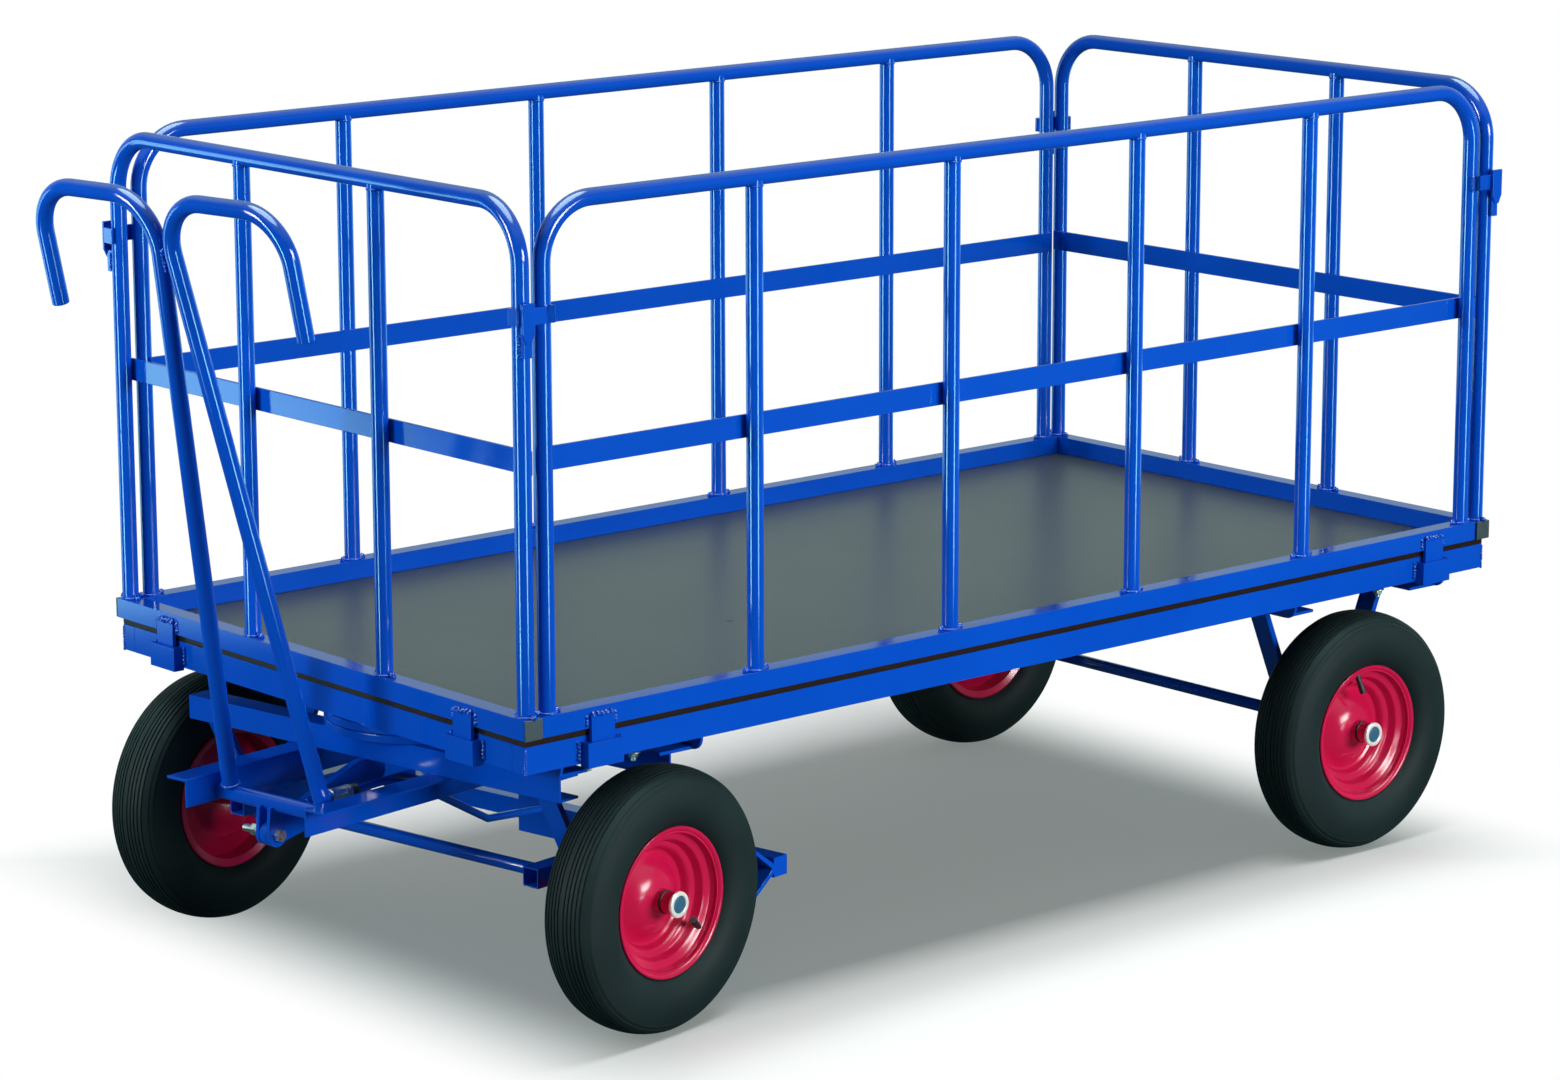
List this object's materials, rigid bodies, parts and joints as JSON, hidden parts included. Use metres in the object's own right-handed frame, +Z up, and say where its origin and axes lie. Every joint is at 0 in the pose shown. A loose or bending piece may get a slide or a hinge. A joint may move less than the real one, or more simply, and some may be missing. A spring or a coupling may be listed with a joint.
{
  "type": "drawbar platform trailer",
  "caption": "Four-wheel hand-drawn platform trailer with turntable steering, an upright twin-handle drawbar, a plywood deck and lift-off lattice walls.",
  "frame": {"origin": "middle of the box on the floor, between the wheels", "axes": "+X forward to the drawbar, +Y to the left, +Z up"},
  "size_m": [2.359, 1.0392, 1.2433],
  "materials": {
    "blue_enamel": "gloss powder coat",
    "red_enamel": "gloss paint",
    "tyre": "matt ribbed rubber",
    "film_faced_ply": "phenolic film, satin, fine mesh",
    "grey_plastic": "moulded",
    "zinc": "zinc plated"
  },
  "bodies": {
    "bed": {"cross_member_front_1": "blue_enamel", "cross_member_front_2": "blue_enamel", "cross_member_rear_1": "blue_enamel", "cross_member_rear_2": "blue_enamel", "deck": "film_faced_ply", "end_rim_front": "blue_enamel", "end_rim_rear": "blue_enamel", "front_plug_left": "grey_plastic", "front_plug_right": "grey_plastic", "front_wall_frame": "blue_enamel", "front_wall_mid_rail": "blue_enamel", "front_wall_sill": "blue_enamel", "kingpin": "zinc", "rear_axle": "blue_enamel", "rear_bracket_left": "blue_enamel", "rear_bracket_right": "blue_enamel", "rear_plug_left": "grey_plastic", "rear_plug_right": "grey_plastic", "rear_wall_frame": "blue_enamel", "rear_wall_mid_rail": "blue_enamel", "rear_wall_sill": "blue_enamel", "side_rim_left": "blue_enamel", "side_rim_right": "blue_enamel", "turntable_upper_plate": "blue_enamel"},
    "left_wall": {"left_wall_frame": "blue_enamel", "left_wall_mid_rail": "blue_enamel", "left_wall_sill": "blue_enamel"},
    "right_wall": {"right_wall_frame": "blue_enamel", "right_wall_mid_rail": "blue_enamel", "right_wall_sill": "blue_enamel"},
    "turntable": {"arm_left": "blue_enamel", "arm_right": "blue_enamel", "bolster_front": "blue_enamel", "bolster_rear": "blue_enamel", "drawbar_tongue": "blue_enamel", "front_axle": "blue_enamel", "front_bracket_left": "blue_enamel", "front_bracket_right": "blue_enamel", "turntable_lower_plate": "blue_enamel"},
    "brake": {"brake_bar": "blue_enamel", "brake_rod": "zinc", "brake_tube_left": "blue_enamel", "brake_tube_right": "blue_enamel"},
    "drawbar": {"drawbar_bolt": "zinc", "drawbar_cross_tube": "blue_enamel", "drawbar_tube_left": "blue_enamel", "drawbar_tube_right": "blue_enamel"},
    "front_left_wheel": {"front_left_tyre": "tyre", "front_left_rim": "red_enamel", "front_left_cap": "zinc"},
    "front_right_wheel": {"front_right_tyre": "tyre", "front_right_rim": "red_enamel", "front_right_cap": "zinc"},
    "rear_left_wheel": {"rear_left_tyre": "tyre", "rear_left_rim": "red_enamel", "rear_left_cap": "zinc"},
    "rear_right_wheel": {"rear_right_tyre": "tyre", "rear_right_rim": "red_enamel", "rear_right_cap": "zinc"}
  },
  "joints": [
    {"name": "steer", "type": "hinge", "parent": "bed", "child": "turntable", "pos_m": [0.63749, 0, 0.4], "axis": [0, 0, 1], "range_deg": [-42, 25]},
    {"name": "drawbar_tilt", "type": "hinge", "parent": "turntable", "child": "drawbar", "pos_m": [0.94183, 0.04733, 0.2764], "axis": [-0.1537, 0.9881, 0], "range_deg": [0, 80], "stiffness_Nm_per_rad": 32, "springref_deg": -40.11},
    {"name": "brake_slide", "type": "slide", "parent": "turntable", "child": "brake", "axis": [0.9881, 0.1537, 0], "range_m": [-0.0125, 0]},
    {"name": "front_left_spin", "type": "hinge", "parent": "turntable", "child": "front_left_wheel", "pos_m": [0.56802, 0.44663, 0.19655], "axis": [-0.1537, 0.9881, 0], "continuous": true},
    {"name": "front_right_spin", "type": "hinge", "parent": "turntable", "child": "front_right_wheel", "pos_m": [0.70695, -0.44663, 0.19655], "axis": [-0.1537, 0.9881, 0], "continuous": true},
    {"name": "rear_left_spin", "type": "hinge", "parent": "bed", "child": "rear_left_wheel", "pos_m": [-0.90551, 0.452, 0.19655], "axis": [0, 1, 0], "continuous": true},
    {"name": "rear_right_spin", "type": "hinge", "parent": "bed", "child": "rear_right_wheel", "pos_m": [-0.90551, -0.452, 0.19655], "axis": [0, 1, 0], "continuous": true},
    {"name": "left_wall_lift", "type": "slide", "parent": "bed", "child": "left_wall", "axis": [0, 0, 1], "range_m": [0, 0.12]},
    {"name": "right_wall_lift", "type": "slide", "parent": "bed", "child": "right_wall", "axis": [0, 0, 1], "range_m": [0, 0.12]}
  ],
  "couplings": [
    {"joint": "brake_slide", "follows": "drawbar_tilt", "m_per_rad": -0.0088}
  ]
}
